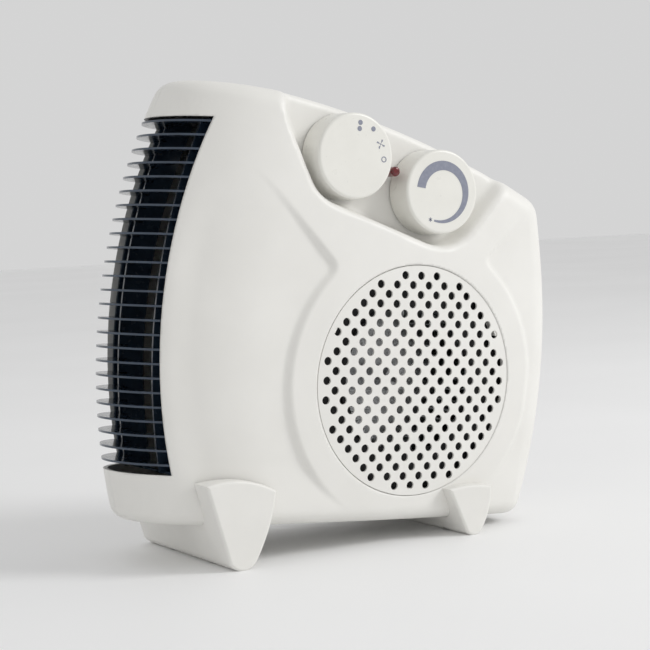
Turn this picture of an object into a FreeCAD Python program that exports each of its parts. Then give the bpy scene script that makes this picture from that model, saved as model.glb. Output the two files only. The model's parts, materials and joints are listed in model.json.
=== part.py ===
import FreeCAD, Part
import math
import os

# Fan convector heater standing on two feet, in millimetres.
# It is designed upright in a body frame: X to the right of the wide face, Z up, Y from front to back.
# There the intake disc is centred on X = 0, Z = 0 and the two half shells meet on Y = 0.
# The last step tips the body to its standing angle and puts the origin under the middle of its box.

# driving dimensions of the casing
HALF_DEPTH = 54.0
WALL = 2.4
QUARTER = 0.5523
CROWN_RADIUS = 936.0
CROWN_X = -41.0
CROWN_Z = 36.0
NOSE_X = -163.3
NOSE_Z = 12.3
NOSE_BOW = 340.0
NOSE_LENGTH = 70.0
SIDE_X = 96.0
SIDE_Z = 20.0
SIDE_BOW = 380.0
SIDE_ROUND = 14.0
BOTTOM_Z = -77.0
TOP_ARC_X = -159.0
TOP_ARC_Z = -409.7
TOP_ARC_RADIUS = 567.0
TOP_EDGE_ROUND = 12.0
BOTTOM_EDGE_ROUND = 9.0
STAND_TILT = 5.1

# intake disc: its holes sit on a grid turned by 45 degrees
GRID_PITCH = 5.2
GRID_RINGS = 11.5
HOLE_RADIUS = 2.25
DISC_RADIUS = 62.7
DISC_THICKNESS = 1.2
DISC_GAP = 0.5
SEAT_RADIUS = 60.6
COLLAR_RADIUS = 66.0

# control panel: a recess that is open at the top
SELECTOR = (-44.4, 119.3)
THERMOSTAT = (11.0, 103.4)
LAMP = (-17.0, 112.8)
RECESS_FLOOR = -36.0
# corners of the recess lip (x, z, rounding), anticlockwise from the top left, and each side's slope inwards
RECESS_LIP = [(-80.0, 175.0, 0), (-86.0, 137.0, 16.0), (-66.3, 96.1, 20.0), (25.1, 67.3, 33.8), (132.8, 175.0, 0)]
RECESS_SLOPES = [0.0, 5.0, 6.0, 3.1, 9.0]
RECESS_FLOOR_RADII = [0, 16.0, 22.0, 25.0, 0]
LENS_RADIUS = 2.7
KNOB_FACE = -54.0
KNOB_FACE_RADIUS = 22.8
KNOB_BASE_RADIUS = 23.3
KNOB_GAP = 1.0
KNOB_WALL = 1.8
SPINDLE_RADIUS = 3.0

# outlet: opening in the nose, and the grille's fins
OPENING_BOTTOM = -50.5
OPENING_TOP = 135.8
OPENING_HALF = 34.0
FIN_COUNT = 25
FIN_TOP = 133.4
FIN_PITCH = 7.44
FIN_THICKNESS = 1.1
FIN_RADIUS = 38.0
FIN_INNER_RADIUS = 25.5
FIN_REACH = 33.6
FIN_DEPTH = 27.0
# distances behind the nose line: the rim's front and back, and the front of the upright ribs
RIM_FRONT = 20.8
RIM_BACK = 33.5
RIB_FRONT = 19.0
RIM_THICKNESS = 1.6
RIB_OFFSET = 22.0
RIB_THICKNESS = 1.6

# feet
FOOT_FRONT = 54.6
# height of the flat cut under each round foot tip
FOOT_FLAT = 0.5

# fan, motor and their housing
IMPELLER_RADIUS = 46.0
IMPELLER_BACK = -9.4
BLADE_COUNT = 36
THROAT_LOW = 13.5
SCROLL_RADIUS = 52.0
SCROLL_GROWTH = 18.0
SCROLL_FRONT = -40.0
SCROLL_BACK = -4.4
SCROLL_WALL = 1.6
DUCT_START = -58.0
DUCT_END = -85.6
SHAFT_RADIUS = 2.0
BEARING_RADIUS = 5.0
STACK_Y = (11.0, 27.0)

# heater
HEATER_X = (-104.0, -86.0)
HEATER_Z = (-44.0, 120.0)
HEATER_HALF = 33.8
SHEET = 0.8
COIL_RADIUS = 3.0
COIL_SPANS = 12
COIL_PITCH = 12.0

# fasteners: X and Z of the case screws, and the radius of shank and head
CASE_SCREWS = [(-98.0, 145.0), (79.0, 92.0), (78.0, -66.0), (-20.0, -69.6), (-118.0, -62.0)]
SHANK = 1.4
HEAD = 2.8

CORD_INLET = (66.0, -48.0)
CORD_BORE = 3.5
CLAMP_REACH = 8.6
CLAMP_SHANK = 1.2

# X, Y and seat height of the foot screws
FOOT_SCREWS = [(-105.0, -24.0, -88.0), (-105.0, 24.0, -88.0), (38.5, -30.0, -81.0), (38.5, 30.0, -81.0)]

V = FreeCAD.Vector
AXIS_Y = V(0, 1, 0)
AXIS_Z = V(0, 0, 1)


# ---------- small helpers ----------

def box(x0, x1, y0, y1, z0, z1):
    return Part.makeBox(x1 - x0, y1 - y0, z1 - z0, V(x0, y0, z0))


def rod(x, z, radius, y0, y1):
    """A cylinder along the depth axis."""
    return Part.makeCylinder(radius, y1 - y0, V(x, y0, z), AXIS_Y)


def tube(x, z, outer, inner, y0, y1):
    return rod(x, z, outer, y0, y1).cut(rod(x, z, inner, y0 - 1, y1 + 1))


def pin_up(x, y, radius, z0, z1):
    return Part.makeCylinder(radius, z1 - z0, V(x, y, z0), AXIS_Z)


def polar(centre, radius, degrees):
    angle = math.radians(degrees)
    return (centre[0] + radius * math.cos(angle), centre[1] + radius * math.sin(angle))


def fuse_all(shapes):
    return shapes[0].multiFuse(shapes[1:]).removeSplitter()


def group(shapes):
    return Part.makeCompound([solid for shape in shapes for solid in shape.Solids])


# ---------- casing ----------

def nose_x(z, inset=0.0):
    return NOSE_X + inset + NOSE_BOW - math.sqrt(NOSE_BOW ** 2 - (z - NOSE_Z) ** 2)


def side_x(z, inset=0.0):
    return SIDE_X - inset - SIDE_BOW + math.sqrt(SIDE_BOW ** 2 - (z - SIDE_Z) ** 2)


def crown_y(x, z, inset=0.0):
    """Half depth of the crowned wide faces."""
    reach = (x - CROWN_X) ** 2 + (z - CROWN_Z) ** 2
    return HALF_DEPTH - inset - reach / (2 * CROWN_RADIUS)


def bezier(points):
    curve = Part.BezierCurve()
    curve.setPoles(points)
    return curve.toShape()


def half_section(z, inset, side):
    """One side of a level: a quarter of the long elliptic nose, the crowned face and the far corner."""
    left = nose_x(z, inset)
    right = side_x(z, inset)
    x_nose = left + NOSE_LENGTH - inset
    x_side = right - SIDE_ROUND + inset
    x_mid = (x_nose + x_side) / 2
    y_nose = crown_y(x_nose, z, inset)
    y_side = crown_y(x_side, z, inset)
    y_flat = y_side - SIDE_ROUND + inset
    reach_nose = QUARTER * (x_nose - left)
    reach_side = QUARTER * (right - x_side)
    slope_nose = (CROWN_X - x_nose) / CROWN_RADIUS
    slope_side = (CROWN_X - x_side) / CROWN_RADIUS
    nose = bezier([V(left, 0, z),
                   V(left, side * QUARTER * y_nose, z),
                   V(x_nose - reach_nose, side * (y_nose - reach_nose * slope_nose), z),
                   V(x_nose, side * y_nose, z)])
    face = Part.Arc(V(x_nose, side * y_nose, z),
                    V(x_mid, side * crown_y(x_mid, z, inset), z),
                    V(x_side, side * y_side, z)).toShape()
    corner = bezier([V(x_side, side * y_side, z),
                     V(x_side + reach_side, side * (y_side + reach_side * slope_side), z),
                     V(right, side * (y_flat + QUARTER * (y_side - y_flat)), z),
                     V(right, side * y_flat, z)])
    return [nose, face, corner]


def plan_section(z, inset):
    front = half_section(z, inset, -1)
    back = half_section(z, inset, 1)
    flat = Part.makeLine(front[-1].Vertexes[-1].Point, back[-1].Vertexes[-1].Point)
    return Part.Wire(front + [flat] + back[::-1])


def below_top(inset):
    """Everything under the casing's long arched top and above its flat bottom."""
    dome = Part.makeCylinder(TOP_ARC_RADIUS - inset, 160, V(TOP_ARC_X, -80, TOP_ARC_Z), AXIS_Y)
    return dome.common(box(-200, 150, -80, 80, BOTTOM_Z + inset, 200))


def on_top(point, inset):
    return abs(math.hypot(point.x - TOP_ARC_X, point.z - TOP_ARC_Z) - TOP_ARC_RADIUS + inset) < 0.3


def round_rims(body, inset):
    """Rounds the casing's top and bottom rims."""
    top = []
    for edge in body.Edges:
        middle = edge.valueAt((edge.FirstParameter + edge.LastParameter) / 2)
        if on_top(middle, inset) and all(on_top(v.Point, inset) for v in edge.Vertexes):
            top.append(edge)
    body = body.makeFillet(TOP_EDGE_ROUND - inset, top)
    floor = BOTTOM_Z + inset
    bottom = [e for e in body.Edges if all(abs(v.Z - floor) < 0.01 for v in e.Vertexes)]
    return body.makeFillet(BOTTOM_EDGE_ROUND - inset, bottom)


def casing_body(inset=0.0):
    levels = range(-100, 201, 50)
    loft = Part.makeLoft([plan_section(z, inset) for z in levels], True, False)
    return round_rims(loft.common(below_top(inset)), inset)


def rounded_outline(corners, y):
    """Closed wire in the X-Z plane from (x, z, radius) corners, each rounded with a tangent arc."""
    count = len(corners)
    edges = []
    ends = []
    for i, (x, z, radius) in enumerate(corners):
        here = V(x, y, z)
        before = V(corners[i - 1][0], y, corners[i - 1][1]) - here
        after = V(corners[(i + 1) % count][0], y, corners[(i + 1) % count][1]) - here
        turn = before.getAngle(after)
        before.normalize()
        after.normalize()
        reach = radius / math.tan(turn / 2)
        start = here + before * reach
        finish = here + after * reach
        if radius:
            bisector = (before + after).normalize()
            middle = here + bisector * (radius / math.sin(turn / 2) - radius)
            edges.append(Part.Arc(start, middle, finish).toShape())
        ends.append((start, finish))
    for i in range(count):
        edges.append(Part.makeLine(ends[i - 1][1], ends[i][0]))
    return Part.Wire(Part.__sortEdges__(edges))


def offset_corners(corners, shifts):
    """Moves each side of an outline inwards by its own shift and returns the new corners."""
    count = len(corners)
    lines = []
    for i in range(count):
        x0, z0 = corners[i - 1][:2]
        x1, z1 = corners[i][:2]
        length = math.hypot(x1 - x0, z1 - z0)
        dx, dz = (x1 - x0) / length, (z1 - z0) / length
        lines.append((x0 - dz * shifts[i], z0 + dx * shifts[i], dx, dz))
    moved = []
    for i in range(count):
        x0, z0, dx0, dz0 = lines[i]
        x1, z1, dx1, dz1 = lines[(i + 1) % count]
        along = ((x1 - x0) * dz1 - (z1 - z0) * dx1) / (dx0 * dz1 - dz0 * dx1)
        moved.append((x0 + dx0 * along, z0 + dz0 * along))
    return moved


def recess(grow=0.0):
    """The control recess as a solid: its walls slope inwards from the lip to the floor, open at the top."""
    floor = RECESS_FLOOR + grow
    lip = offset_corners(RECESS_LIP, [-grow] * 5)
    base = offset_corners(RECESS_LIP, [shift - grow for shift in RECESS_SLOPES])
    radii = [corner[2] for corner in RECESS_LIP]
    lip_wire = rounded_outline([(x, z, r + grow if r else 0) for (x, z), r in zip(lip, radii)], -60)
    base_radii = [r + grow if r else 0 for r in RECESS_FLOOR_RADII]
    base_wire = rounded_outline([(x, z, r) for (x, z), r in zip(base, base_radii)], floor)
    return Part.makeLoft([lip_wire, base_wire], True, True)


def outlet_cut(margin=0.0):
    half = OPENING_HALF + margin
    return box(-200, -100, -half, half, OPENING_BOTTOM - margin, OPENING_TOP + margin)


def screw_boss(x, z, y0, y1):
    return rod(x, z, 3.6, y0, y1)


def casing_halves():
    """Front and rear shell, before and after their openings."""
    outer = casing_body().cut(recess())
    cavity = casing_body(WALL).cut(recess(WALL))
    skin = outer.cut(cavity)
    front_half = box(-200, 150, -80, 0, -100, 200)
    rear_half = box(-200, 150, 0, 80, -100, 200)
    return outer, skin.common(front_half), skin.common(rear_half)


def crown_slab(near, far):
    """Material between two depths under the front crown."""
    centre = V(CROWN_X, CROWN_RADIUS - HALF_DEPTH, CROWN_Z)
    return Part.makeSphere(CROWN_RADIUS - near, centre).cut(Part.makeSphere(CROWN_RADIUS - far, centre))


def front_shell(outer, skin):
    collar = rod(0, 0, COLLAR_RADIUS, -70, -44).cut(rod(0, 0, DISC_RADIUS + DISC_GAP, -71, -40))
    ledge = tube(0, 0, COLLAR_RADIUS, SEAT_RADIUS, -70, -40).common(
        crown_slab(DISC_THICKNESS + 0.1, DISC_THICKNESS + 2.1))
    shell = skin.cut(rod(0, 0, DISC_RADIUS + DISC_GAP, -80, -30))
    extras = [collar.common(outer), ledge]
    for x, z in CASE_SCREWS:
        extras.append(screw_boss(x, z, -50, 0).common(outer))
    shell = shell.fuse(extras)
    for x, z in CASE_SCREWS:
        shell = shell.cut(rod(x, z, SHANK + 0.05, -11, 1))
    for x, z in (SELECTOR, THERMOSTAT):
        shell = shell.cut(rod(x, z, SPINDLE_RADIUS + 0.8, -45, -30))
    shell = shell.cut(rod(LAMP[0], LAMP[1], LENS_RADIUS + 0.05, -45, -30))
    return bored_for_controls(shell).cut(outlet_cut())


def rear_grid():
    """Cooling holes behind the motor."""
    return [rod(i * GRID_PITCH, j * GRID_PITCH, HOLE_RADIUS, 40, 60)
            for i in range(-7, 8) for j in range(-7, 8)
            if (i + j) % 2 and i * i + j * j <= 7.3 ** 2]


def rear_shell(outer, skin):
    extras = [screw_boss(x, z, 0.2, 50).common(outer) for x, z in CASE_SCREWS]
    inlet = rod(*CORD_INLET, 10.5, 38.4, 48).common(outer)
    x, z = CORD_INLET
    posts = [pin_up(x + side * CLAMP_REACH, 30, 3, BOTTOM_Z + 0.5, z - 7.5) for side in (-1, 1)]
    shell = skin.fuse(extras + [inlet] + posts)
    for side in (-1, 1):
        shell = shell.cut(pin_up(x + side * CLAMP_REACH, 30, CLAMP_SHANK + 0.05, z - 17, z - 7))
    for x, z in CASE_SCREWS:
        shell = shell.cut(rod(x, z, SHANK + 0.3, -1, 60))
        shell = shell.cut(rod(x, z, HEAD + 0.3, 14, 60))
    shell = shell.cut(rod(*CORD_INLET, 8.2, 42.4, 60)).cut(rod(*CORD_INLET, 5.1, 30, 60))
    return shell.cut(rear_grid()).cut(outlet_cut())


def grid_holes():
    limit = int(GRID_RINGS)
    return [rod(i * GRID_PITCH, j * GRID_PITCH, HOLE_RADIUS, -60, -45)
            for i in range(-limit - 1, limit + 1) for j in range(-limit, limit + 1)
            if (i + j) % 2 and i * i + j * j <= GRID_RINGS ** 2]


def intake_grille():
    """Domed disc with its field of round holes and three snap legs."""
    disc = crown_slab(0, DISC_THICKNESS).common(rod(0, 0, DISC_RADIUS, -60, -40))
    disc = disc.cut(Part.makeCompound(grid_holes()))
    legs = []
    for angle in (30, 150, 270):
        leg = tube(0, 0, SEAT_RADIUS - 0.2, SEAT_RADIUS - 1.6, -54, -44).common(crown_slab(0.6, 20))
        x, z = polar((0, 0), 60, angle)
        legs.append(leg.common(rod(x, z, 5, -60, -40)))
    return disc.fuse(legs)


# ---------- outlet grille ----------

def bow_strip(front, back, y0, y1, z0, z1):
    """A strip that follows the bow of the nose, between two distances behind its line."""
    centre_x = NOSE_X + NOSE_BOW
    ring = tube(centre_x, NOSE_Z, NOSE_BOW - front, NOSE_BOW - back, y0, y1)
    return ring.common(box(-200, -60, y0 - 1, y1 + 1, z0, z1))


def fin(z):
    """A thin curved blade: part of a flat ring, flush with the nose line and cut to the opening's width."""
    tip = nose_x(z)
    half = FIN_THICKNESS / 2
    disc = pin_up(tip + FIN_RADIUS, 0, FIN_RADIUS, z - half, z + half)
    hole = pin_up(tip + FIN_RADIUS, 0, FIN_INNER_RADIUS, z - 1, z + 1)
    return disc.cut(hole).common(box(-200, tip + FIN_DEPTH, -FIN_REACH, FIN_REACH, z - 1, z + 1))


def outlet_grille():
    """Fins and two upright ribs in a rim that fills the outlet opening."""
    low = OPENING_BOTTOM + 0.3
    high = OPENING_TOP - 0.3
    half = OPENING_HALF - 0.3
    bars = [bow_strip(RIM_FRONT, RIM_BACK, y, y + RIM_THICKNESS, low, high) for y in (-half, half - RIM_THICKNESS)]
    bars += [bow_strip(RIM_FRONT, RIM_BACK, -half, half, z, z + 1.4) for z in (low, high - 1.4)]
    bars += [bow_strip(RIB_FRONT, RIM_BACK, y - RIB_THICKNESS / 2, y + RIB_THICKNESS / 2, low, high)
             for y in (-RIB_OFFSET, RIB_OFFSET)]
    fins = [fin(FIN_TOP - FIN_PITCH * i) for i in range(FIN_COUNT)]
    return fuse_all(bars + fins)


# ---------- feet ----------

def foot(points, tip, tip_radius):
    """A foot across the full depth: straight flanks, arched head, round tip and softened ends."""
    head_left, head_mid, head_right = points
    p = lambda point: V(point[0], -FOOT_FRONT, point[1])
    left_tip = (tip[0] - tip_radius * 0.82, tip[1] + tip_radius * 0.42)
    right_tip = (tip[0] + tip_radius * 0.9, tip[1] + tip_radius * 0.55)
    right_mid = ((right_tip[0] + head_right[0]) / 2 + 2.0, (right_tip[1] + head_right[1]) / 2)
    edges = [
        Part.Arc(p(head_left), p(head_mid), p(head_right)).toShape(),
        Part.Arc(p(head_right), p(right_mid), p(right_tip)).toShape(),
        Part.Arc(p(right_tip), p(tip), p(left_tip)).toShape(),
        Part.makeLine(p(left_tip), p(head_left)),
    ]
    block = Part.Face(Part.Wire(edges)).extrude(V(0, 2 * FOOT_FRONT, 0))
    ends = [e for e in block.Edges if abs(abs(e.CenterOfMass.y) - FOOT_FRONT) < 0.01]
    return block.makeFillet(1.6, ends)


def outlet_foot(outer):
    shape = foot([(-126.3, -54.2), (-106.0, -51.6), (-85.8, -57.2)], (-104.0, -98.4), 9.0)
    return foot_holes(shape.cut(outer), FOOT_SCREWS[:2])


def rear_foot(outer):
    shape = foot([(22.3, -59.6), (36.0, -57.4), (50.2, -57.9)], (39.6, -85.6), 6.0)
    return foot_holes(shape.cut(outer), FOOT_SCREWS[2:])


def foot_holes(shape, screws):
    solid = max(shape.Solids, key=lambda s: s.Volume)
    for x, y, seat in screws:
        solid = solid.cut(pin_up(x, y, SHANK + 0.2, -110, -60))
        solid = solid.cut(pin_up(x, y, HEAD + 0.3, -110, seat))
    return solid


def bored_for_feet(shell):
    for x, y, seat in FOOT_SCREWS:
        shell = shell.cut(pin_up(x, y, SHANK + 0.05, BOTTOM_Z - 1, BOTTOM_Z + 8))
    return shell


def foot_screws():
    return group([pin_up(x, y, SHANK, seat, BOTTOM_Z + 6).fuse(pin_up(x, y, HEAD, seat - 2, seat))
                  for x, y, seat in FOOT_SCREWS])


# ---------- controls ----------

def knob(x, z):
    """Hollow knob with a soft front rim, a slight draft and a boss for its spindle."""
    base = RECESS_FLOOR - KNOB_GAP
    body = Part.makeCone(KNOB_BASE_RADIUS, KNOB_FACE_RADIUS, base - KNOB_FACE, V(x, base, z), -AXIS_Y)
    rim = [e for e in body.Edges if abs(e.BoundBox.YMax - KNOB_FACE) < 0.01]
    body = body.makeFillet(1.6, rim)
    body = body.cut(rod(x, z, KNOB_FACE_RADIUS - KNOB_WALL, KNOB_FACE + KNOB_WALL + 0.4, base + 1))
    boss = rod(x, z, 5.6, KNOB_FACE + KNOB_WALL, base)
    return body.fuse(boss).cut(rod(x, z, SPINDLE_RADIUS + 0.03, KNOB_FACE + 6, base + 1))


def spindle(x, z):
    """Round shaft with a flat on the end that the knob sits on."""
    shaft = rod(x, z, SPINDLE_RADIUS, KNOB_FACE + 6.5, -17)
    return shaft.cut(box(x - 5, x + 5, KNOB_FACE, -40, z + SPINDLE_RADIUS - 0.7, z + 5))


def lamp_lens():
    x, z = LAMP
    body = rod(x, z, LENS_RADIUS, -51, -33.2)
    tip = [e for e in body.Edges if abs(e.BoundBox.YMax + 51) < 0.01]
    body = body.makeFillet(1.6, tip).fuse(rod(x, z, LENS_RADIUS + 1.2, -33.2, -32.0))
    return body.cut(rod(x, z, 1.9, -48, -30))


def neon_lamp():
    x, z = LAMP
    glass = rod(x, z, 1.7, -47, -31)
    leads = [rod(x + dx, z, 0.3, -31, -24) for dx in (-0.8, 0.8)]
    return glass.fuse(leads)


def switch_body():
    x, z = SELECTOR
    body = box(x - 14, x + 14, -33.4, -16, z - 14, z + 14).cut(rod(x, z, SPINDLE_RADIUS + 0.05, -34, -10))
    tabs = [box(x + dx - 3.1, x + dx + 3.1, -16, -8, z + dz - 0.4, z + dz + 0.4)
            for dx in (-8, 8) for dz in (-9, 9)]
    return bored_for_controls(body.fuse(tabs))


def thermostat_body():
    x, z = THERMOSTAT
    frame = box(x - 13, x + 13, -33.4, -31.8, z - 9, z + 9)
    cheeks = [box(x + dx, x + dx + 3, -31.8, -16.5, z - 6, z + 6) for dx in (-13, 10)]
    bush = rod(x, z, 5.5, -31.8, -22)
    shape = frame.fuse(cheeks + [bush]).cut(rod(x, z, SPINDLE_RADIUS + 0.05, -34, -10))
    return bored_for_controls(shape)


def bimetal_strip():
    x, z = THERMOSTAT
    return box(x - 13, x + 13, -16.4, -15.6, z - 4, z + 4)


def control_screw_places():
    """Two screws beside each spindle, hidden under the knobs."""
    return [(x + side * reach, z) for (x, z), reach in ((SELECTOR, 11.5), (THERMOSTAT, 9.0)) for side in (-1, 1)]


def control_screws():
    return group([rod(x, z, SHANK, -36.4, -30).fuse(rod(x, z, 2.4, -36.9, -36.05))
                  for x, z in control_screw_places()])


def bored_for_controls(shape):
    return shape.cut([rod(x, z, SHANK + 0.05, -42, -29.5) for x, z in control_screw_places()])


# ---------- fan ----------

def scroll_outline(grow, y0, y1, overshoot=0.0):
    """A spiral in four arcs that widens towards the outlet, then a straight throat."""
    low = THROAT_LOW - grow
    start = 180 - math.degrees(math.asin(low / (SCROLL_RADIUS + grow)))

    def on_spiral(turn):
        x, z = polar((0, 0), SCROLL_RADIUS + SCROLL_GROWTH * turn + grow, start + (450 - start) * turn)
        return V(x, y0, z)

    edges = [Part.Arc(on_spiral(i / 4), on_spiral((i + 0.5) / 4), on_spiral((i + 1) / 4)).toShape()
             for i in range(4)]
    left = DUCT_START - overshoot
    corners = [on_spiral(1), V(left, y0, on_spiral(1).z), V(left, y0, low), on_spiral(0)]
    edges += [Part.makeLine(a, b) for a, b in zip(corners, corners[1:])]
    return Part.Face(Part.Wire(edges)).extrude(V(0, y1 - y0, 0))


def fan_housing():
    """Scroll wall and back plate, with two posts that carry the motor."""
    walls = scroll_outline(SCROLL_WALL, SCROLL_FRONT, SCROLL_BACK)
    walls = walls.cut(scroll_outline(0, SCROLL_FRONT - 1, SCROLL_BACK - SCROLL_WALL, 5))
    posts = [rod(side * 33, 0, 4, SCROLL_BACK, 2.9) for side in (-1, 1)]
    walls = walls.cut(rod(0, 0, 9, -10, 0)).fuse(posts)
    for side in (-1, 1):
        walls = walls.cut(rod(side * 33, 0, SHANK + 0.05, SCROLL_BACK + 0.2, 4))
    return walls


def fan_housing_cover():
    """Front plate with a rolled inlet ring."""
    cover = scroll_outline(SCROLL_WALL, SCROLL_FRONT - 1.6, SCROLL_FRONT - 0.1)
    cover = cover.fuse(tube(0, 0, 43, 40, SCROLL_FRONT - 3.4, SCROLL_FRONT - 1.5))
    return cover.cut(rod(0, 0, 40, -50, -30))


def rectangle(x, y0, y1, z0, z1):
    corners = [V(x, y0, z0), V(x, y1, z0), V(x, y1, z1), V(x, y0, z1), V(x, y0, z0)]
    return Part.makePolygon(corners)


def air_duct():
    """Widens from the scroll's throat to the heater."""
    throat_top = SCROLL_RADIUS + SCROLL_GROWTH + SCROLL_WALL
    throat = (SCROLL_FRONT - 1.6, SCROLL_BACK, THROAT_LOW - SCROLL_WALL, throat_top)
    heater = (-HEATER_HALF, HEATER_HALF, HEATER_Z[0], HEATER_Z[1])

    def shell(margin, x0, x1):
        a = rectangle(x0, throat[0] + margin, throat[1] - margin, throat[2] + margin, throat[3] - margin)
        b = rectangle(x1, heater[0] + margin, heater[1] - margin, heater[2] + margin, heater[3] - margin)
        return Part.makeLoft([a, b], True, True)

    return shell(0, DUCT_START - 0.2, DUCT_END).cut(shell(1.3, DUCT_START - 0.19, DUCT_END - 0.01))


def blade(angle):
    """One forward curved blade."""
    inner = polar((0, 0), IMPELLER_RADIUS - 11, angle)
    middle = polar((0, 0), IMPELLER_RADIUS - 5, angle + 2.0)
    outer = polar((0, 0), IMPELLER_RADIUS - 0.5, angle + 9)
    inner_back = polar((0, 0), IMPELLER_RADIUS - 11, angle + 1.6)
    middle_back = polar((0, 0), IMPELLER_RADIUS - 5, angle + 3.4)
    outer_back = polar((0, 0), IMPELLER_RADIUS - 0.5, angle + 10)
    p = lambda point: V(point[0], -36.2, point[1])
    edges = [
        Part.Arc(p(inner), p(middle), p(outer)).toShape(),
        Part.makeLine(p(outer), p(outer_back)),
        Part.Arc(p(outer_back), p(middle_back), p(inner_back)).toShape(),
        Part.makeLine(p(inner_back), p(inner)),
    ]
    return Part.Face(Part.Wire(edges)).extrude(V(0, IMPELLER_BACK + 36.2, 0))


def impeller_cage():
    """Ring of blades joined by a front ring."""
    front_ring = tube(0, 0, IMPELLER_RADIUS, IMPELLER_RADIUS - 4, -37.6, -36)
    return fuse_all([front_ring] + [blade(360 / BLADE_COUNT * i) for i in range(BLADE_COUNT)])


def impeller_hub():
    """Back plate and boss that carry the cage on the shaft."""
    plate = rod(0, 0, IMPELLER_RADIUS, IMPELLER_BACK, -8).fuse(rod(0, 0, 7, -30, -8))
    return plate.cut(rod(0, 0, SHAFT_RADIUS + 0.02, -40, 0))


def motor_shaft():
    return rod(0, 0, SHAFT_RADIUS, -32, 39.5)


def rotor():
    core = rod(0, 0, 12.4, STACK_Y[0], STACK_Y[1])
    rings = [rod(0, 0, 11.6, STACK_Y[0] - 2, STACK_Y[0]), rod(0, 0, 11.6, STACK_Y[1], STACK_Y[1] + 2)]
    return core.fuse(rings).cut(rod(0, 0, SHAFT_RADIUS + 0.02, 0, 40))


def stator_stack():
    """Laminated frame with the rotor's bore, the coil's window and two tie holes."""
    y0, y1 = STACK_Y
    stack = box(-27, 27, y0, y1, -36, 18)
    stack = stack.cut(box(-16.5, 16.5, y0 - 1, y1 + 1, -27, -15.6))
    stack = stack.cut(rod(0, 0, 12.9, y0 - 1, y1 + 1))
    for side in (-1, 1):
        stack = stack.cut(rod(side * 21.5, 9, SHANK + 0.1, y0 - 1, y1 + 1))
        stack = stack.cut(rod(side * 12.2, side * 9.2, 1.25, y0 - 1, y1 + 1))
    return stack


def shading_rings():
    """Copper loops through the small slots beside the rotor."""
    y0, y1 = STACK_Y
    return group([rod(side * 12.2, side * 9.2, 1.1, y0 - 0.8, y1 + 0.8) for side in (-1, 1)])


def motor_coil():
    y0, y1 = STACK_Y
    coil = box(-15.5, 15.5, y0 - 7, y1 + 7, -42, -16.2)
    return coil.cut(box(-20, 20, y0 - 0.3, y1 + 0.3, -36.3, -26.8))


def bearing_bracket(y, plate_side, mount_ears):
    """A cross bar with a boss for its bearing and two legs that reach the stack."""
    reach = 37 if mount_ears else 26
    bar = box(-reach, reach, y, y + 2, -5, 5)
    arms = [box(side * 21.5 - 4, side * 21.5 + 4, y, y + 2, 0, 13) for side in (-1, 1)]
    legs = []
    for side in (-1, 1):
        y0, y1 = (y + 2, STACK_Y[0] - 0.05) if plate_side < 0 else (STACK_Y[1] + 0.05, y)
        legs.append(rod(side * 21.5, 9, 3.4, y0, y1))
    boss = rod(0, 0, 8, y - 1.5, y + 3.5)
    shape = fuse_all([bar, boss] + arms + legs)
    shape = shape.cut(rod(0, 0, BEARING_RADIUS + 0.03, y - 5, y + 8))
    for side in (-1, 1):
        shape = shape.cut(rod(side * 21.5, 9, SHANK + 0.05, -20, 60))
        if mount_ears:
            shape = shape.cut(rod(side * 33, 0, SHANK + 0.05, -20, 60))
    return shape


def bearing(y0, y1):
    return tube(0, 0, BEARING_RADIUS, SHAFT_RADIUS + 0.05, y0, y1)


def motor_screws():
    ties = [rod(side * 21.5, 9, SHANK, 1.8, 36.2).fuse(rod(side * 21.5, 9, HEAD, 35.1, 37.2))
            for side in (-1, 1)]
    mounts = [rod(side * 33, 0, SHANK, SCROLL_BACK + 0.5, 5.1).fuse(rod(side * 33, 0, HEAD, 5.05, 7.1))
              for side in (-1, 1)]
    return group(ties + mounts)


# ---------- heater ----------

def heater_frame():
    x0, x1 = HEATER_X
    z0, z1 = HEATER_Z
    frame = box(x0, x1, -HEATER_HALF, HEATER_HALF, z0, z1)
    return frame.cut(box(x0 - 1, x1 + 1, -HEATER_HALF + SHEET, HEATER_HALF - SHEET, z0 + SHEET, z1 - SHEET))


def coil_places(column):
    x = HEATER_X[0] + 4.6 + column * 8.6
    return [(x, HEATER_Z[0] + 9 + column * COIL_PITCH / 2 + COIL_PITCH * i) for i in range(COIL_SPANS)]


def heating_coil(column):
    """Outer shape of one heating circuit: straight spans of wound wire between the end boards."""
    return group([rod(x, z, COIL_RADIUS, -25.4, 25.4) for x, z in coil_places(column)])


def mica_boards():
    z0, z1 = HEATER_Z
    x0, x1 = HEATER_X
    boards = [box(x0 + 0.6, x1 - 0.6, y, y + 0.8, z0 + 0.9, z1 - 10) for y in (-26.4, -0.4, 25.6)]
    holes = [rod(x, z, COIL_RADIUS + 0.4, -2, 2) for column in (0, 1) for x, z in coil_places(column)]
    boards[1] = boards[1].cut(Part.makeCompound(holes))
    return group(boards)


def heater_terminals():
    x = (HEATER_X[0] + HEATER_X[1]) / 2
    return group([box(x - 3.1, x + 3.1, 26.45, 27.25, z, z + 12) for z in (20, 50, 80)])


def thermal_cutout():
    x = (HEATER_X[0] + HEATER_X[1]) / 2
    top = HEATER_Z[1] - SHEET
    return pin_up(x, -12, 7, top - 5, top - 0.05).fuse(pin_up(x, -12, 4.5, top - 7, top - 5))


def thermal_fuse():
    x = (HEATER_X[0] + HEATER_X[1]) / 2
    z = HEATER_Z[1] - SHEET - 3
    return rod(x, z, 1.5, 6, 17).fuse([rod(x, z, 0.4, 2, 6), rod(x, z, 0.4, 17, 21)])


# ---------- cord entry ----------

def cord_gland():
    x, z = CORD_INLET
    body = rod(x, z, 5.0, 38, 43).fuse([rod(x, z, 7.6, 42.5, 44.6), rod(x, z, 6.4, 36.4, 38.3)])
    return body.cut(rod(x, z, CORD_BORE, 30, 50))


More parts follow.
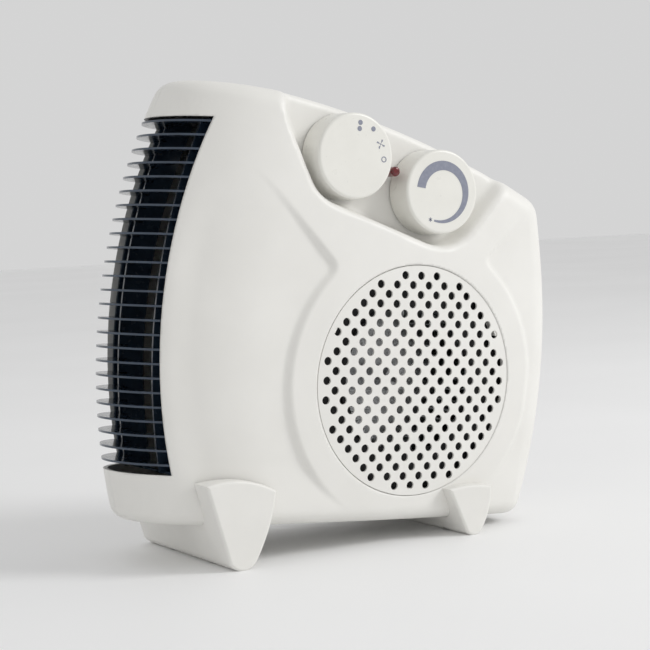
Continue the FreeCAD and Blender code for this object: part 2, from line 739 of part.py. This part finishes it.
def terminal_block():
    x, z = CORD_INLET
    block = box(x - 14, x + 10, 10, 22, z - 12, z - 2)
    return block.cut(Part.makeCompound([rod(x - 10 + 8 * i, z - 7, 1.6, 9, 23) for i in range(3)]))


def cord_clamp():
    x, z = CORD_INLET
    bar = box(x - 11, x + 11, 27, 33, z - 7.4, z - 4).cut(rod(x, z, CORD_BORE + 0.6, 20, 40))
    return bar.cut([pin_up(x + side * CLAMP_REACH, 30, CLAMP_SHANK + 0.2, z - 8, z) for side in (-1, 1)])


def clamp_screws():
    x, z = CORD_INLET
    screws = []
    for side in (-1, 1):
        shank = pin_up(x + side * CLAMP_REACH, 30, CLAMP_SHANK, z - 16, z - 3.9)
        screws.append(shank.fuse(pin_up(x + side * CLAMP_REACH, 30, 2.2, z - 3.95, z - 2.4)))
    return group(screws)


def case_screws():
    return group([rod(x, z, SHANK, -9, 14.2).fuse(rod(x, z, HEAD, 14.05, 16.2)) for x, z in CASE_SCREWS])


# ---------- assembly ----------

def parts():
    outer, front, rear = casing_halves()
    return {
        "front_shell": bored_for_feet(front_shell(outer, front)),
        "rear_shell": bored_for_feet(rear_shell(outer, rear)),
        "intake_grille": intake_grille(),
        "outlet_grille": outlet_grille(),
        "outlet_foot": outlet_foot(outer),
        "rear_foot": rear_foot(outer),
        "foot_screws": foot_screws(),
        "case_screws": case_screws(),
        "selector_knob": knob(*SELECTOR),
        "selector_spindle": spindle(*SELECTOR),
        "switch_body": switch_body(),
        "thermostat_knob": knob(*THERMOSTAT),
        "thermostat_spindle": spindle(*THERMOSTAT),
        "thermostat_body": thermostat_body(),
        "bimetal_strip": bimetal_strip(),
        "control_screws": control_screws(),
        "lamp_lens": lamp_lens(),
        "neon_lamp": neon_lamp(),
        "fan_housing": fan_housing(),
        "fan_housing_cover": fan_housing_cover(),
        "air_duct": air_duct(),
        "impeller_cage": impeller_cage(),
        "impeller_hub": impeller_hub(),
        "motor_shaft": motor_shaft(),
        "rotor": rotor(),
        "stator_stack": stator_stack(),
        "shading_rings": shading_rings(),
        "motor_coil": motor_coil(),
        "front_bearing_bracket": bearing_bracket(3, -1, True),
        "rear_bearing_bracket": bearing_bracket(33, 1, False),
        "front_bearing": bearing(0.5, 8.5),
        "rear_bearing": bearing(29.6, 37.6),
        "motor_screws": motor_screws(),
        "heater_frame": heater_frame(),
        "mica_boards": mica_boards(),
        "heating_coil_low": heating_coil(0),
        "heating_coil_high": heating_coil(1),
        "heater_terminals": heater_terminals(),
        "thermal_cutout": thermal_cutout(),
        "thermal_fuse": thermal_fuse(),
        "cord_gland": cord_gland(),
        "terminal_block": terminal_block(),
        "cord_clamp": cord_clamp(),
        "cord_clamp_screws": clamp_screws(),
    }


def stand(shapes):
    """Tips the body to its standing angle and puts the origin under the middle of its box."""
    tipped = {}
    for name, shape in shapes.items():
        tipped[name] = shape.copy()
        tipped[name].rotate(V(0, 0, 0), AXIS_Y, STAND_TILT)
    bounds = FreeCAD.BoundBox()
    for shape in tipped.values():
        bounds.add(shape.optimalBoundingBox())
    floor = bounds.ZMin + FOOT_FLAT
    for name in ("outlet_foot", "rear_foot"):
        tipped[name] = tipped[name].cut(box(-200, 200, -100, 100, floor - 20, floor))
    shift = V(-bounds.Center.x, -bounds.Center.y, -floor)
    for shape in tipped.values():
        shape.translate(shift)
    return tipped, shift


if __name__ == "__main__":
    os.makedirs("parts", exist_ok=True)
    placed, shift = stand(parts())
    for name, shape in placed.items():
        shape.exportStep("parts/" + name + ".step")
    print("origin shift", shift)
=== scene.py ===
import json
import math

import bpy
import numpy as np
from mathutils import Matrix, Vector


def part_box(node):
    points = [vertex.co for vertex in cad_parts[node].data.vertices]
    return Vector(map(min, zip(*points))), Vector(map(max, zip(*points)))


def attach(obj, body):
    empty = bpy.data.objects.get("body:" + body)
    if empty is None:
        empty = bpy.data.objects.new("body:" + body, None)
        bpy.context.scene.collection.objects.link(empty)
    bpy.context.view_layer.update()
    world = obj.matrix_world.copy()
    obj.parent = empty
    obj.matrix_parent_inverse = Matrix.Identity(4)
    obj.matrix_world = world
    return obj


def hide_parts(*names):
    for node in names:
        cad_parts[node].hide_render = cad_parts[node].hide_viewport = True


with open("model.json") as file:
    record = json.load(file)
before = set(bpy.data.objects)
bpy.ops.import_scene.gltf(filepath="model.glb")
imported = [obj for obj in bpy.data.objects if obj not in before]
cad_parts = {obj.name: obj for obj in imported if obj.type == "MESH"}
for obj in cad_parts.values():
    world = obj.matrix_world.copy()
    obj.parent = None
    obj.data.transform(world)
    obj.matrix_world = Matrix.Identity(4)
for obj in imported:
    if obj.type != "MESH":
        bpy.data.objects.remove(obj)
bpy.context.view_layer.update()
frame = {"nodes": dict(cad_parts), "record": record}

# Fan convector heater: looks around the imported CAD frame. Metres in the row frame.
# Measures of the heater itself are in millimetres in its upright body frame, as the CAD model names them:
# X along the wide face, Y from front to back, Z up, with the intake disc centred on X = 0, Z = 0.

MM = 0.001
STAND_TILT = math.radians(5.1)
COS, SIN = math.cos(STAND_TILT), math.sin(STAND_TILT)
disc_low, disc_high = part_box("intake_grille")
DISC = (disc_low + disc_high) / 2


def to_row(x, y, z):
    return Vector((DISC.x + (x * COS + z * SIN) * MM, y * MM, DISC.z + (z * COS - x * SIN) * MM))


def rows_to_body(points):
    """Row-frame points in metres as body-frame x, y, z arrays in millimetres."""
    dx = (points[:, 0] - DISC.x) / MM
    dz = (points[:, 2] - DISC.z) / MM
    return dx * COS - dz * SIN, points[:, 1] / MM, dx * SIN + dz * COS


def body_to_rows(x, y, z):
    return np.stack([DISC.x + (x * COS + z * SIN) * MM, y * MM, DISC.z + (z * COS - x * SIN) * MM], axis=1)


# ---------- mesh helpers ----------

def new_piece(name, points, faces, body):
    mesh = bpy.data.meshes.new(name)
    mesh.from_pydata(points, [], faces)
    mesh.update()
    piece = bpy.data.objects.new(name, mesh)
    bpy.context.scene.collection.objects.link(piece)
    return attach(piece, body)


def read_points(mesh):
    flat = np.empty(len(mesh.vertices) * 3, np.float32)
    mesh.vertices.foreach_get("co", flat)
    return flat.reshape(-1, 3).astype(float)


def write_points(mesh, points):
    mesh.vertices.foreach_set("co", points.astype(np.float32).ravel())
    mesh.update()


def read_edges(mesh):
    flat = np.empty(len(mesh.edges) * 2, np.int32)
    mesh.edges.foreach_get("vertices", flat)
    return flat.reshape(-1, 2)


def neighbour_mean(values, edges, counts):
    total = np.zeros_like(values)
    for a, b in ((0, 1), (1, 0)):
        for axis in range(values.shape[1]):
            total[:, axis] += np.bincount(edges[:, a], values[edges[:, b], axis], len(values))
    return total / counts[:, None]


def soften(points, edges, weight, rounds):
    """Pulls each point towards the mean of its neighbours, by its own weight."""
    counts = np.maximum(np.bincount(edges.ravel(), minlength=len(points)), 1)
    for _ in range(rounds):
        points = points + weight[:, None] * (neighbour_mean(points, edges, counts) - points)
    return points


def crease_weight(mesh, edges, spread):
    """1 on points beside a sharp edge, falling off over a few rings of neighbours."""
    normals = np.empty(len(mesh.polygons) * 3, np.float32)
    mesh.polygons.foreach_get("normal", normals)
    normals = normals.reshape(-1, 3)
    loop_edge = np.empty(len(mesh.loops), np.int32)
    mesh.loops.foreach_get("edge_index", loop_edge)
    totals = np.empty(len(mesh.polygons), np.int32)
    mesh.polygons.foreach_get("loop_total", totals)
    loop_face = np.repeat(np.arange(len(totals)), totals)
    order = np.argsort(loop_edge, kind="stable")
    edge_sorted, face_sorted = loop_edge[order], loop_face[order]
    pair = np.nonzero(edge_sorted[1:] == edge_sorted[:-1])[0]
    bend = np.einsum("ij,ij->i", normals[face_sorted[pair]], normals[face_sorted[pair + 1]])
    sharp = edge_sorted[pair][bend < 0.93]
    weight = np.zeros(len(mesh.vertices))
    weight[edges[sharp].ravel()] = 1.0
    for _ in range(spread):
        for a, b in ((0, 1), (1, 0)):
            np.maximum.at(weight, edges[:, a], 0.8 * weight[edges[:, b]])
    return weight


def remeshed_copy(node, name, depth):
    """A copy of a CAD node's mesh, rebuilt as an even grid of small faces that keeps its sharp edges."""
    piece = frame["nodes"][node].copy()
    piece.data = frame["nodes"][node].data.copy()
    piece.name = name
    for key in list(piece.keys()):
        del piece[key]
    piece.parent = None
    bpy.context.scene.collection.objects.link(piece)
    remesh = piece.modifiers.new("grid", "REMESH")
    remesh.mode = "SHARP"
    remesh.octree_depth = depth
    remesh.scale = 0.95
    remesh.use_remove_disconnected = False
    evaluated = piece.evaluated_get(bpy.context.evaluated_depsgraph_get())
    mesh = bpy.data.meshes.new_from_object(evaluated)
    piece.modifiers.clear()
    piece.data = mesh
    piece.data.name = name
    return piece


# ---------- front casing ----------

CROWN_RADIUS, CROWN_X, CROWN_Z, HALF_DEPTH = 936.0, -41.0, 36.0, 54.0
RING_RADIUS = 79.5
STEP_WIDTH = 5.0
LEFT_STEP, RIGHT_STEP = 2.8, 2.2
LEFT_NECK, LEFT_FLARE = (-55.0, 62.0), -0.95
RIGHT_NECK, RIGHT_FLARE = (46.0, 68.0), 0.93
NECK_ROUND = 9.0
LEFT_LIMIT = -108.0
SIDE_X, SIDE_Z, SIDE_BOW, SIDE_ROUND = 96.0, 20.0, 380.0, 14.0
NOSE_X, NOSE_Z, NOSE_BOW, NOSE_LENGTH = -163.3, 12.3, 340.0, 70.0
QUARTER = 0.5523
TOP_ARC_X, TOP_ARC_Z, TOP_ARC_RADIUS = -159.0, -409.7, 567.0
DISC_SEAT = 67.0
FACE_MISS, NOSE_MISS = 0.6, 1.6
EVEN_PULL, CREASE_PULL = 0.35, 0.75


def fade(value, start, end):
    t = np.clip((value - start) / (end - start), 0, 1)
    return t * t * (3 - 2 * t)


def soft_min(a, b, blend):
    gap = np.maximum(blend - np.abs(a - b), 0) / blend
    return np.minimum(a, b) - gap * gap * blend / 4


def crown_y(x, z):
    reach = (x - CROWN_X) ** 2 + (z - CROWN_Z) ** 2
    return HALF_DEPTH - CROWN_RADIUS + np.sqrt(CROWN_RADIUS ** 2 - reach)


def side_x(z):
    return SIDE_X - SIDE_BOW + np.sqrt(SIDE_BOW ** 2 - (z - SIDE_Z) ** 2)


def nose_x(z):
    return NOSE_X + NOSE_BOW - np.sqrt(NOSE_BOW ** 2 - (z - NOSE_Z) ** 2)


def casing_half_depth(x, z):
    """Half depth of the casing: a quarter of a long ellipse at the nose, then the crowned face."""
    end_x = nose_x(z) + NOSE_LENGTH
    along = np.clip((x - nose_x(z)) / NOSE_LENGTH, 0, 1)
    t = along ** 0.5
    for _ in range(12):
        value = 3 * (1 - t) * t * t * (1 - QUARTER) + t ** 3
        slope = 3 * (1 - QUARTER) * (2 * t - 3 * t * t) + 3 * t * t
        t = np.clip(t - (value - along) / np.maximum(slope, 0.05), 0, 1)
    end_y = crown_y(end_x, z)
    end_slope = (CROWN_X - end_x) / CROWN_RADIUS
    handle = end_y - QUARTER * NOSE_LENGTH * end_slope
    nose = 3 * (1 - t) ** 2 * t * QUARTER * end_y + 3 * (1 - t) * t * t * handle + t ** 3 * end_y
    return np.where(x < end_x, nose, crown_y(x, z))


def platform_depth(x, z):
    """How far the face is set back outside the keyhole-shaped platform round the disc and the controls."""
    ring = np.sqrt(np.maximum(RING_RADIUS ** 2 - z * z, 0))
    left_flare = LEFT_NECK[0] + LEFT_FLARE * (z - LEFT_NECK[1])
    left = np.maximum(soft_min(-ring, left_flare, NECK_ROUND), LEFT_LIMIT)
    right_flare = RIGHT_NECK[0] + RIGHT_FLARE * (z - RIGHT_NECK[1])
    right = -soft_min(-ring, -right_flare, NECK_ROUND)
    right = np.minimum(right, side_x(z) - SIDE_ROUND - STEP_WIDTH / 2)
    left_step = LEFT_STEP * fade(z, -72, -42) * fade(z, 114, 62)
    right_step = RIGHT_STEP * fade(z, -64, -34) * fade(z, 97, 70)
    half = STEP_WIDTH / 2
    return left_step * fade(x, left + half, left - half) + right_step * fade(x, right - half, right + half)


def on_face(x, y, z):
    """How firmly a point is drawn onto the exact outer face; 0 in the recess, at the outlet and at the rims."""
    miss = np.abs(y + casing_half_depth(x, z))
    allowed = FACE_MISS + NOSE_MISS * fade(x, -80, -92)
    under_top = TOP_ARC_RADIUS - np.hypot(x - TOP_ARC_X, z - TOP_ARC_Z)
    weight = fade(miss, allowed, allowed - 0.5) * fade(x, 80, 76) * fade(-y, 26, 31)
    weight = weight * np.maximum(fade(-y, 34.2, 35.2), fade(z, 137, 139))
    return weight * fade(under_top, 11.5, 13.5) * fade(z, -68.5, -66.5)


def eased(mesh, points):
    """Points with the grid evened out and the recess lip rounded, but the fitted edges left sharp."""
    edges = read_edges(mesh)
    x, y, z = rows_to_body(points)
    free = fade(y, -1.5, -4) * fade(np.hypot(x, z), DISC_SEAT, DISC_SEAT + 4)
    past_outlet = fade(x, -104, -90)
    outlet = fade(np.abs(y), 36, 39) * (1 - past_outlet) + past_outlet
    crease = crease_weight(mesh, edges, 3) * free * fade(x, -118, -104)
    points = soften(points, edges, EVEN_PULL * free * outlet, 8)
    return soften(points, edges, CREASE_PULL * crease, 22)


def front_casing():
    """The front shell with its soft recess lip and the raised keyhole-shaped platform."""
    piece = remeshed_copy("front_shell", "front_casing", 8)
    mesh = piece.data
    x, y, z = rows_to_body(eased(mesh, read_points(mesh)))
    y = y - on_face(x, y, z) * (y + casing_half_depth(x, z))
    y = y + platform_depth(x, z) * fade(-y, 34, 44)
    write_points(mesh, body_to_rows(x, y, z))
    mesh.shade_smooth()
    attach(piece, "casing")
    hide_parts("front_shell")
    return piece


# ---------- knob marks ----------

SELECTOR = (-44.4, 119.3)
THERMOSTAT = (11.0, 103.4)
MARK_PROUD, MARK_SUNK = 0.12, 0.3
KNOB_FACE = -54.0
# Marks as radius from the knob's middle and clock angle.
HEAT_DOTS = [(17.8, 6), (14.5, 6), (17.9, 34)]
HEAT_DOT_RADIUS = 1.35
FAN_MARK, FAN_MARK_SIZE = (16.5, 64.5), 2.6
OFF_MARK, OFF_MARK_INNER, OFF_MARK_OUTER = (17.2, 93), 1.1, 1.6
FROST_MARK, FROST_MARK_SIZE = (17.2, 205), 1.2
SCALE_START, SCALE_SWEEP = 276, 281
SCALE_RADIUS, SCALE_SWELL = 16.6, 0.6
SCALE_WIDTH, SCALE_TAPER = 5.4, 4.4


def clock_point(centre, radius, degrees):
    """A point at a clock angle: 0 at the top, growing clockwise as seen from the front."""
    turn = math.radians(degrees)
    return centre[0] + radius * math.sin(turn), centre[1] + radius * math.cos(turn)


def inlay(outlines):
    """Closed slabs, one for each outline of (x, z) points, that lie on the knob face."""
    points, faces = [], []
    for outline in outlines:
        start, count = len(points), len(outline)
        for depth in (KNOB_FACE - MARK_PROUD, KNOB_FACE + MARK_SUNK):
            points += [to_row(px, depth, pz) for px, pz in outline]
        faces.append([start + i for i in range(count)][::-1])
        faces.append([start + count + i for i in range(count)])
        for i in range(count):
            j = (i + 1) % count
            faces.append([start + i, start + j, start + count + j, start + count + i])
    return points, faces


def dot(centre, radius):
    return [clock_point(centre, radius, 360 - 15 * i) for i in range(24)]


def ring_sectors(centre, inner, outer, start, end, steps):
    """A ring or arc as short sectors; inner and outer give a radius for each share of the sweep."""
    sectors = []
    for i in range(steps):
        a, b = i / steps, (i + 1) / steps
        angle_a, angle_b = start + (end - start) * a, start + (end - start) * b
        sectors.append([clock_point(centre, outer(a), angle_a), clock_point(centre, inner(a), angle_a),
                        clock_point(centre, inner(b), angle_b), clock_point(centre, outer(b), angle_b)])
    return sectors


def fan_symbol(centre, size):
    """Four slim curved blades round a hub."""
    blades = [dot(centre, size * 0.16)]
    for turn in range(0, 360, 90):
        sweep = [(0.22, 0), (0.6, 38), (1.0, 30), (1.0, 12), (0.62, 12)]
        blades.append([clock_point(centre, size * reach, turn + angle) for reach, angle in sweep][::-1])
    return blades


def selector_marks():
    shapes = [dot(clock_point(SELECTOR, *place), HEAT_DOT_RADIUS) for place in HEAT_DOTS]
    shapes += fan_symbol(clock_point(SELECTOR, *FAN_MARK), FAN_MARK_SIZE)
    off = clock_point(SELECTOR, *OFF_MARK)
    shapes += ring_sectors(off, lambda t: OFF_MARK_INNER, lambda t: OFF_MARK_OUTER, 0, 360, 24)
    points, faces = inlay(shapes)
    return new_piece("selector_marks", points, faces, "selector")


def thermostat_marks():
    outer = lambda share: SCALE_RADIUS + SCALE_SWELL * share
    inner = lambda share: outer(share) - SCALE_WIDTH + SCALE_TAPER * share ** 2.2
    shapes = ring_sectors(THERMOSTAT, inner, outer, SCALE_START, SCALE_START + SCALE_SWEEP, 64)
    star = clock_point(THERMOSTAT, *FROST_MARK)
    for turn in (0, 60, 120):
        ends = [clock_point(star, FROST_MARK_SIZE, turn + a) for a in (10, -10, 190, 170)]
        shapes.append(ends[::-1])
    points, faces = inlay(shapes)
    return new_piece("thermostat_marks", points, faces, "thermostat_dial")


# ---------- heating coils ----------

COIL_SPANS, COIL_PITCH, COIL_RADIUS = 12, 12.0, 3.0
COIL_TURNS, COIL_STEPS = 25, 10
HEATER_LEFT, HEATER_LOW, COIL_REACH = -104.0, -44.0, 25.0
FIRST_COLUMN, COLUMN_GAP, FIRST_SPAN = 4.6, 8.6, 9
WIRE_RADIUS, WIRE_INSET = 0.3, 0.35


def heating_coil(column, name):
    """Wound resistance wire in straight spans between the end boards."""
    curve = bpy.data.curves.new(name, "CURVE")
    curve.dimensions = "3D"
    curve.bevel_depth = WIRE_RADIUS * MM
    curve.bevel_resolution = 1
    x = HEATER_LEFT + FIRST_COLUMN + column * COLUMN_GAP
    turns, steps = COIL_TURNS, COIL_STEPS
    wire = COIL_RADIUS - WIRE_INSET
    for span in range(COIL_SPANS):
        z = HEATER_LOW + FIRST_SPAN + column * COIL_PITCH / 2 + COIL_PITCH * span
        spline = curve.splines.new("POLY")
        spline.points.add(turns * steps)
        for i in range(turns * steps + 1):
            angle = 2 * math.pi * i / steps
            y = -COIL_REACH + 2 * COIL_REACH * i / (turns * steps)
            point = to_row(x + wire * math.cos(angle), y, z + wire * math.sin(angle))
            spline.points[i].co = (*point, 1)
    spool = bpy.data.objects.new(name, curve)
    bpy.context.scene.collection.objects.link(spool)
    mesh = bpy.data.meshes.new_from_object(spool.evaluated_get(bpy.context.evaluated_depsgraph_get()))
    bpy.data.objects.remove(spool)
    mesh.name = name
    mesh.shade_smooth()
    piece = bpy.data.objects.new(name, mesh)
    bpy.context.scene.collection.objects.link(piece)
    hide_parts("heating_coil_low" if column == 0 else "heating_coil_high")
    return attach(piece, "casing")


# ---------- materials ----------

class Finish:
    """A node material whose colour, roughness and relief vary over the surface."""

    def __init__(self, name, roughness, **inputs):
        self.material = bpy.data.materials.new(name)
        self.material.use_nodes = True
        self.tree = self.material.node_tree
        self.shader = self.tree.nodes["Principled BSDF"]
        self.shader.inputs["Roughness"].default_value = roughness
        for socket, value in inputs.items():
            self.shader.inputs[socket.replace("_", " ")].default_value = value
        self.place = self.tree.nodes.new("ShaderNodeTexCoord").outputs["Object"]
        self.height = None

    def stretched(self, scale):
        mapping = self.tree.nodes.new("ShaderNodeMapping")
        mapping.inputs["Scale"].default_value = scale
        self.tree.links.new(self.place, mapping.inputs["Vector"])
        self.place = mapping.outputs["Vector"]
        return self

    def noise(self, size, detail=3.0):
        """Noise with features of about the given size in millimetres."""
        noise = self.tree.nodes.new("ShaderNodeTexNoise")
        noise.inputs["Scale"].default_value = 1 / (size * MM)
        noise.inputs["Detail"].default_value = detail
        self.tree.links.new(self.place, noise.inputs["Vector"])
        return noise.outputs["Fac"]

    def colour(self, dark, light, size):
        ramp = self.tree.nodes.new("ShaderNodeValToRGB")
        ramp.color_ramp.elements[0].position = 0.3
        ramp.color_ramp.elements[1].position = 0.7
        ramp.color_ramp.elements[0].color = (*dark, 1)
        ramp.color_ramp.elements[1].color = (*light, 1)
        self.tree.links.new(self.noise(size), ramp.inputs["Fac"])
        self.tree.links.new(ramp.outputs["Color"], self.shader.inputs["Base Color"])
        return self

    def sheen_patches(self, low, high, size):
        """Roughness that varies between two values."""
        spread = self.tree.nodes.new("ShaderNodeMapRange")
        spread.inputs["From Min"].default_value = 0.3
        spread.inputs["From Max"].default_value = 0.7
        spread.inputs["To Min"].default_value = low
        spread.inputs["To Max"].default_value = high
        self.tree.links.new(self.noise(size), spread.inputs["Value"])
        self.tree.links.new(spread.outputs["Result"], self.shader.inputs["Roughness"])
        return self

    def relief(self, size, depth, strength=1.0, detail=2.0):
        """Surface grain: feature size and depth in millimetres."""
        bump = self.tree.nodes.new("ShaderNodeBump")
        bump.inputs["Distance"].default_value = depth * MM
        bump.inputs["Strength"].default_value = strength
        self.tree.links.new(self.noise(size, detail), bump.inputs["Height"])
        if self.height:
            self.tree.links.new(self.height, bump.inputs["Normal"])
        self.height = bump.outputs["Normal"]
        self.tree.links.new(self.height, self.shader.inputs["Normal"])
        return self


def casing_plastic():
    finish = Finish("casing_plastic", 0.42, Specular_IOR_Level=0.45)
    finish.colour((0.80, 0.79, 0.755), (0.835, 0.825, 0.79), 35)
    return finish.sheen_patches(0.38, 0.5, 12).relief(0.7, 0.03, 0.55).relief(14, 0.05, 0.25)


def knob_plastic():
    finish = Finish("knob_plastic", 0.3, Coat_Weight=0.15, Coat_Roughness=0.2)
    finish.colour((0.80, 0.79, 0.74), (0.835, 0.825, 0.775), 18)
    return finish.sheen_patches(0.27, 0.38, 5).relief(0.5, 0.015, 0.4)


def feet_plastic():
    finish = Finish("feet_plastic", 0.45, Specular_IOR_Level=0.4)
    finish.colour((0.79, 0.78, 0.745), (0.825, 0.815, 0.78), 22)
    return finish.sheen_patches(0.4, 0.55, 8).relief(0.7, 0.035, 0.55)


def grille_plastic():
    finish = Finish("grille_plastic", 0.2, Coat_Weight=0.5, Coat_Roughness=0.08)
    finish.colour((0.020, 0.036, 0.062), (0.034, 0.056, 0.090), 9)
    return finish.sheen_patches(0.16, 0.30, 4).relief(1.2, 0.012, 0.3)


def mark_ink():
    finish = Finish("mark_ink", 0.5)
    finish.colour((0.22, 0.235, 0.30), (0.27, 0.285, 0.35), 2)
    return finish.sheen_patches(0.45, 0.6, 1).relief(0.3, 0.01, 0.4)


def lens_plastic():
    finish = Finish("lens_plastic", 0.12, Transmission_Weight=0.1, IOR=1.49, Coat_Weight=0.6)
    finish.colour((0.09, 0.001, 0.004), (0.20, 0.003, 0.008), 2)
    return finish.sheen_patches(0.08, 0.18, 2).relief(0.8, 0.01, 0.3)


def plated_metal(name, dark, light, low, high, grain=(1, 1, 12)):
    finish = Finish(name, 0.35, Metallic=1.0)
    finish.colour(dark, light, 6)
    return finish.stretched(grain).sheen_patches(low, high, 3).relief(1.2, 0.01, 0.4)


def plain_plastic(name, dark, light, low, high):
    finish = Finish(name, 0.5)
    finish.colour(dark, light, 10)
    return finish.sheen_patches(low, high, 4).relief(0.6, 0.03, 0.5)


def clear_glass():
    finish = Finish("lamp_glass", 0.05, Transmission_Weight=0.9, IOR=1.5)
    finish.colour((0.75, 0.45, 0.32), (0.85, 0.58, 0.44), 1.5)
    return finish.sheen_patches(0.03, 0.10, 1).relief(0.5, 0.005, 0.2)


def slot_finishes():
    metal, plastic = plated_metal, plain_plastic
    return {
        "casing": casing_plastic(),
        "feet": feet_plastic(),
        "knob": knob_plastic(),
        "grille": grille_plastic(),
        "marks": mark_ink(),
        "lens": lens_plastic(),
        "glass": clear_glass(),
        "zinc": metal("zinc_plate", (0.50, 0.51, 0.52), (0.66, 0.67, 0.69), 0.25, 0.45),
        "steel": metal("motor_laminations", (0.16, 0.16, 0.17), (0.30, 0.30, 0.31), 0.3, 0.5, (1, 16, 1)),
        "sheet": metal("galvanised_sheet", (0.40, 0.41, 0.43), (0.56, 0.57, 0.59), 0.28, 0.5, (1, 1, 1)),
        "inner_plastic": plastic("black_plastic", (0.018, 0.018, 0.020), (0.032, 0.032, 0.035), 0.35, 0.55),
        "aluminium": metal("aluminium", (0.60, 0.61, 0.62), (0.76, 0.77, 0.78), 0.25, 0.42),
        "brass": metal("brass", (0.55, 0.38, 0.13), (0.72, 0.53, 0.22), 0.22, 0.4),
        "bronze": metal("sintered_bronze", (0.33, 0.19, 0.08), (0.48, 0.29, 0.14), 0.4, 0.6, (1, 1, 1)),
        "copper": metal("enamelled_copper", (0.42, 0.14, 0.05), (0.62, 0.24, 0.09), 0.18, 0.34, (1, 1, 24)),
        "mica": plastic("mica_board", (0.30, 0.24, 0.15), (0.45, 0.37, 0.25), 0.3, 0.6),
        "wire": metal("resistance_wire", (0.18, 0.17, 0.16), (0.36, 0.34, 0.32), 0.3, 0.5),
        "cutout": metal("nickel_plate", (0.50, 0.49, 0.45), (0.64, 0.63, 0.59), 0.2, 0.4, (1, 1, 1)),
        "rubber": plastic("black_rubber", (0.014, 0.014, 0.014), (0.028, 0.027, 0.026), 0.6, 0.8),
    }


def paint(piece, finish):
    piece.data.materials.clear()
    piece.data.materials.append(finish.material)


# ---------- studio ----------

LENS = 98.27
CAMERA_PLACE = (-525.8, -861.2, 47.7)
CAMERA_AZIMUTH, CAMERA_ELEVATION, CAMERA_ROLL = 29.795, -3.668, -2.542


def camera():
    """A long lens in front of the outlet end, a little above the heater and slightly rolled."""
    azimuth, elevation, roll = (math.radians(a) for a in (CAMERA_AZIMUTH, CAMERA_ELEVATION, CAMERA_ROLL))
    forward = Vector((math.sin(azimuth) * math.cos(elevation), math.cos(azimuth) * math.cos(elevation),
                      math.sin(elevation)))
    level_right = forward.cross(Vector((0, 0, 1))).normalized()
    level_up = level_right.cross(forward)
    right = level_right * math.cos(roll) + level_up * math.sin(roll)
    up = right.cross(forward)
    data = bpy.data.cameras.new("photo_camera")
    data.lens = LENS
    data.sensor_width = 36.0
    data.clip_start = 0.05
    placed = bpy.data.objects.new("photo_camera", data)
    turn = Matrix((right, up, -forward)).transposed()
    placed.matrix_world = Matrix.Translation(to_row(*CAMERA_PLACE)) @ turn.to_4x4()
    bpy.context.scene.collection.objects.link(placed)
    bpy.context.scene.camera = placed


def soft_light(name, place, size, power):
    """A square softbox that faces the heater."""
    data = bpy.data.lights.new(name, "AREA")
    data.size = size
    data.energy = power
    light = bpy.data.objects.new(name, data)
    light.location = place
    aim = Vector((0, 0, 0.12)) - Vector(place)
    light.rotation_euler = aim.to_track_quat("-Z", "Y").to_euler()
    bpy.context.scene.collection.objects.link(light)


def studio():
    floor_mesh = bpy.data.meshes.new("floor")
    reach = 6.0
    floor_mesh.from_pydata([(-reach, -reach, 0), (reach, -reach, 0), (reach, reach, 0), (-reach, reach, 0)],
                           [], [(0, 1, 2, 3)])
    floor = bpy.data.objects.new("floor", floor_mesh)
    bpy.context.scene.collection.objects.link(floor)
    finish = Finish("pale_floor", 0.6)
    finish.colour((0.91, 0.91, 0.91), (0.94, 0.94, 0.94), 400)
    floor_mesh.materials.append(finish.material)
    world = bpy.data.worlds.new("studio")
    world.use_nodes = True
    world.node_tree.nodes["Background"].inputs["Color"].default_value = (1, 1, 1, 1)
    world.node_tree.nodes["Background"].inputs["Strength"].default_value = 0.66
    bpy.context.scene.world = world
    bpy.context.scene.view_settings.view_transform = "Standard"
    soft_light("key", (1.5, -1.2, 1.3), 0.8, 20.5)


# ---------- assembly ----------

SHARP_ANGLE = math.radians(28)
finishes = slot_finishes()
node_slots = {part["node"]: part["material_slot"] for part in frame["record"]["subparts"]}
for name, node in frame["nodes"].items():
    paint(node, finishes[node_slots[name]])
    node.data.shade_smooth()
    node.data.set_sharp_from_angle(angle=SHARP_ANGLE)

pieces = {
    "casing": [front_casing()],
    "marks": [selector_marks(), thermostat_marks()],
    "wire": [heating_coil(0, "low_coil"), heating_coil(1, "high_coil")],
}
for slot, group in pieces.items():
    for piece in group:
        paint(piece, finishes[slot])

fin_edges = frame["nodes"]["outlet_grille"].modifiers.new("fin_edges", "BEVEL")
fin_edges.width = 0.25 * MM
fin_edges.segments = 2
fin_edges.angle_limit = math.radians(50)
fin_edges.use_clamp_overlap = False

camera()
studio()
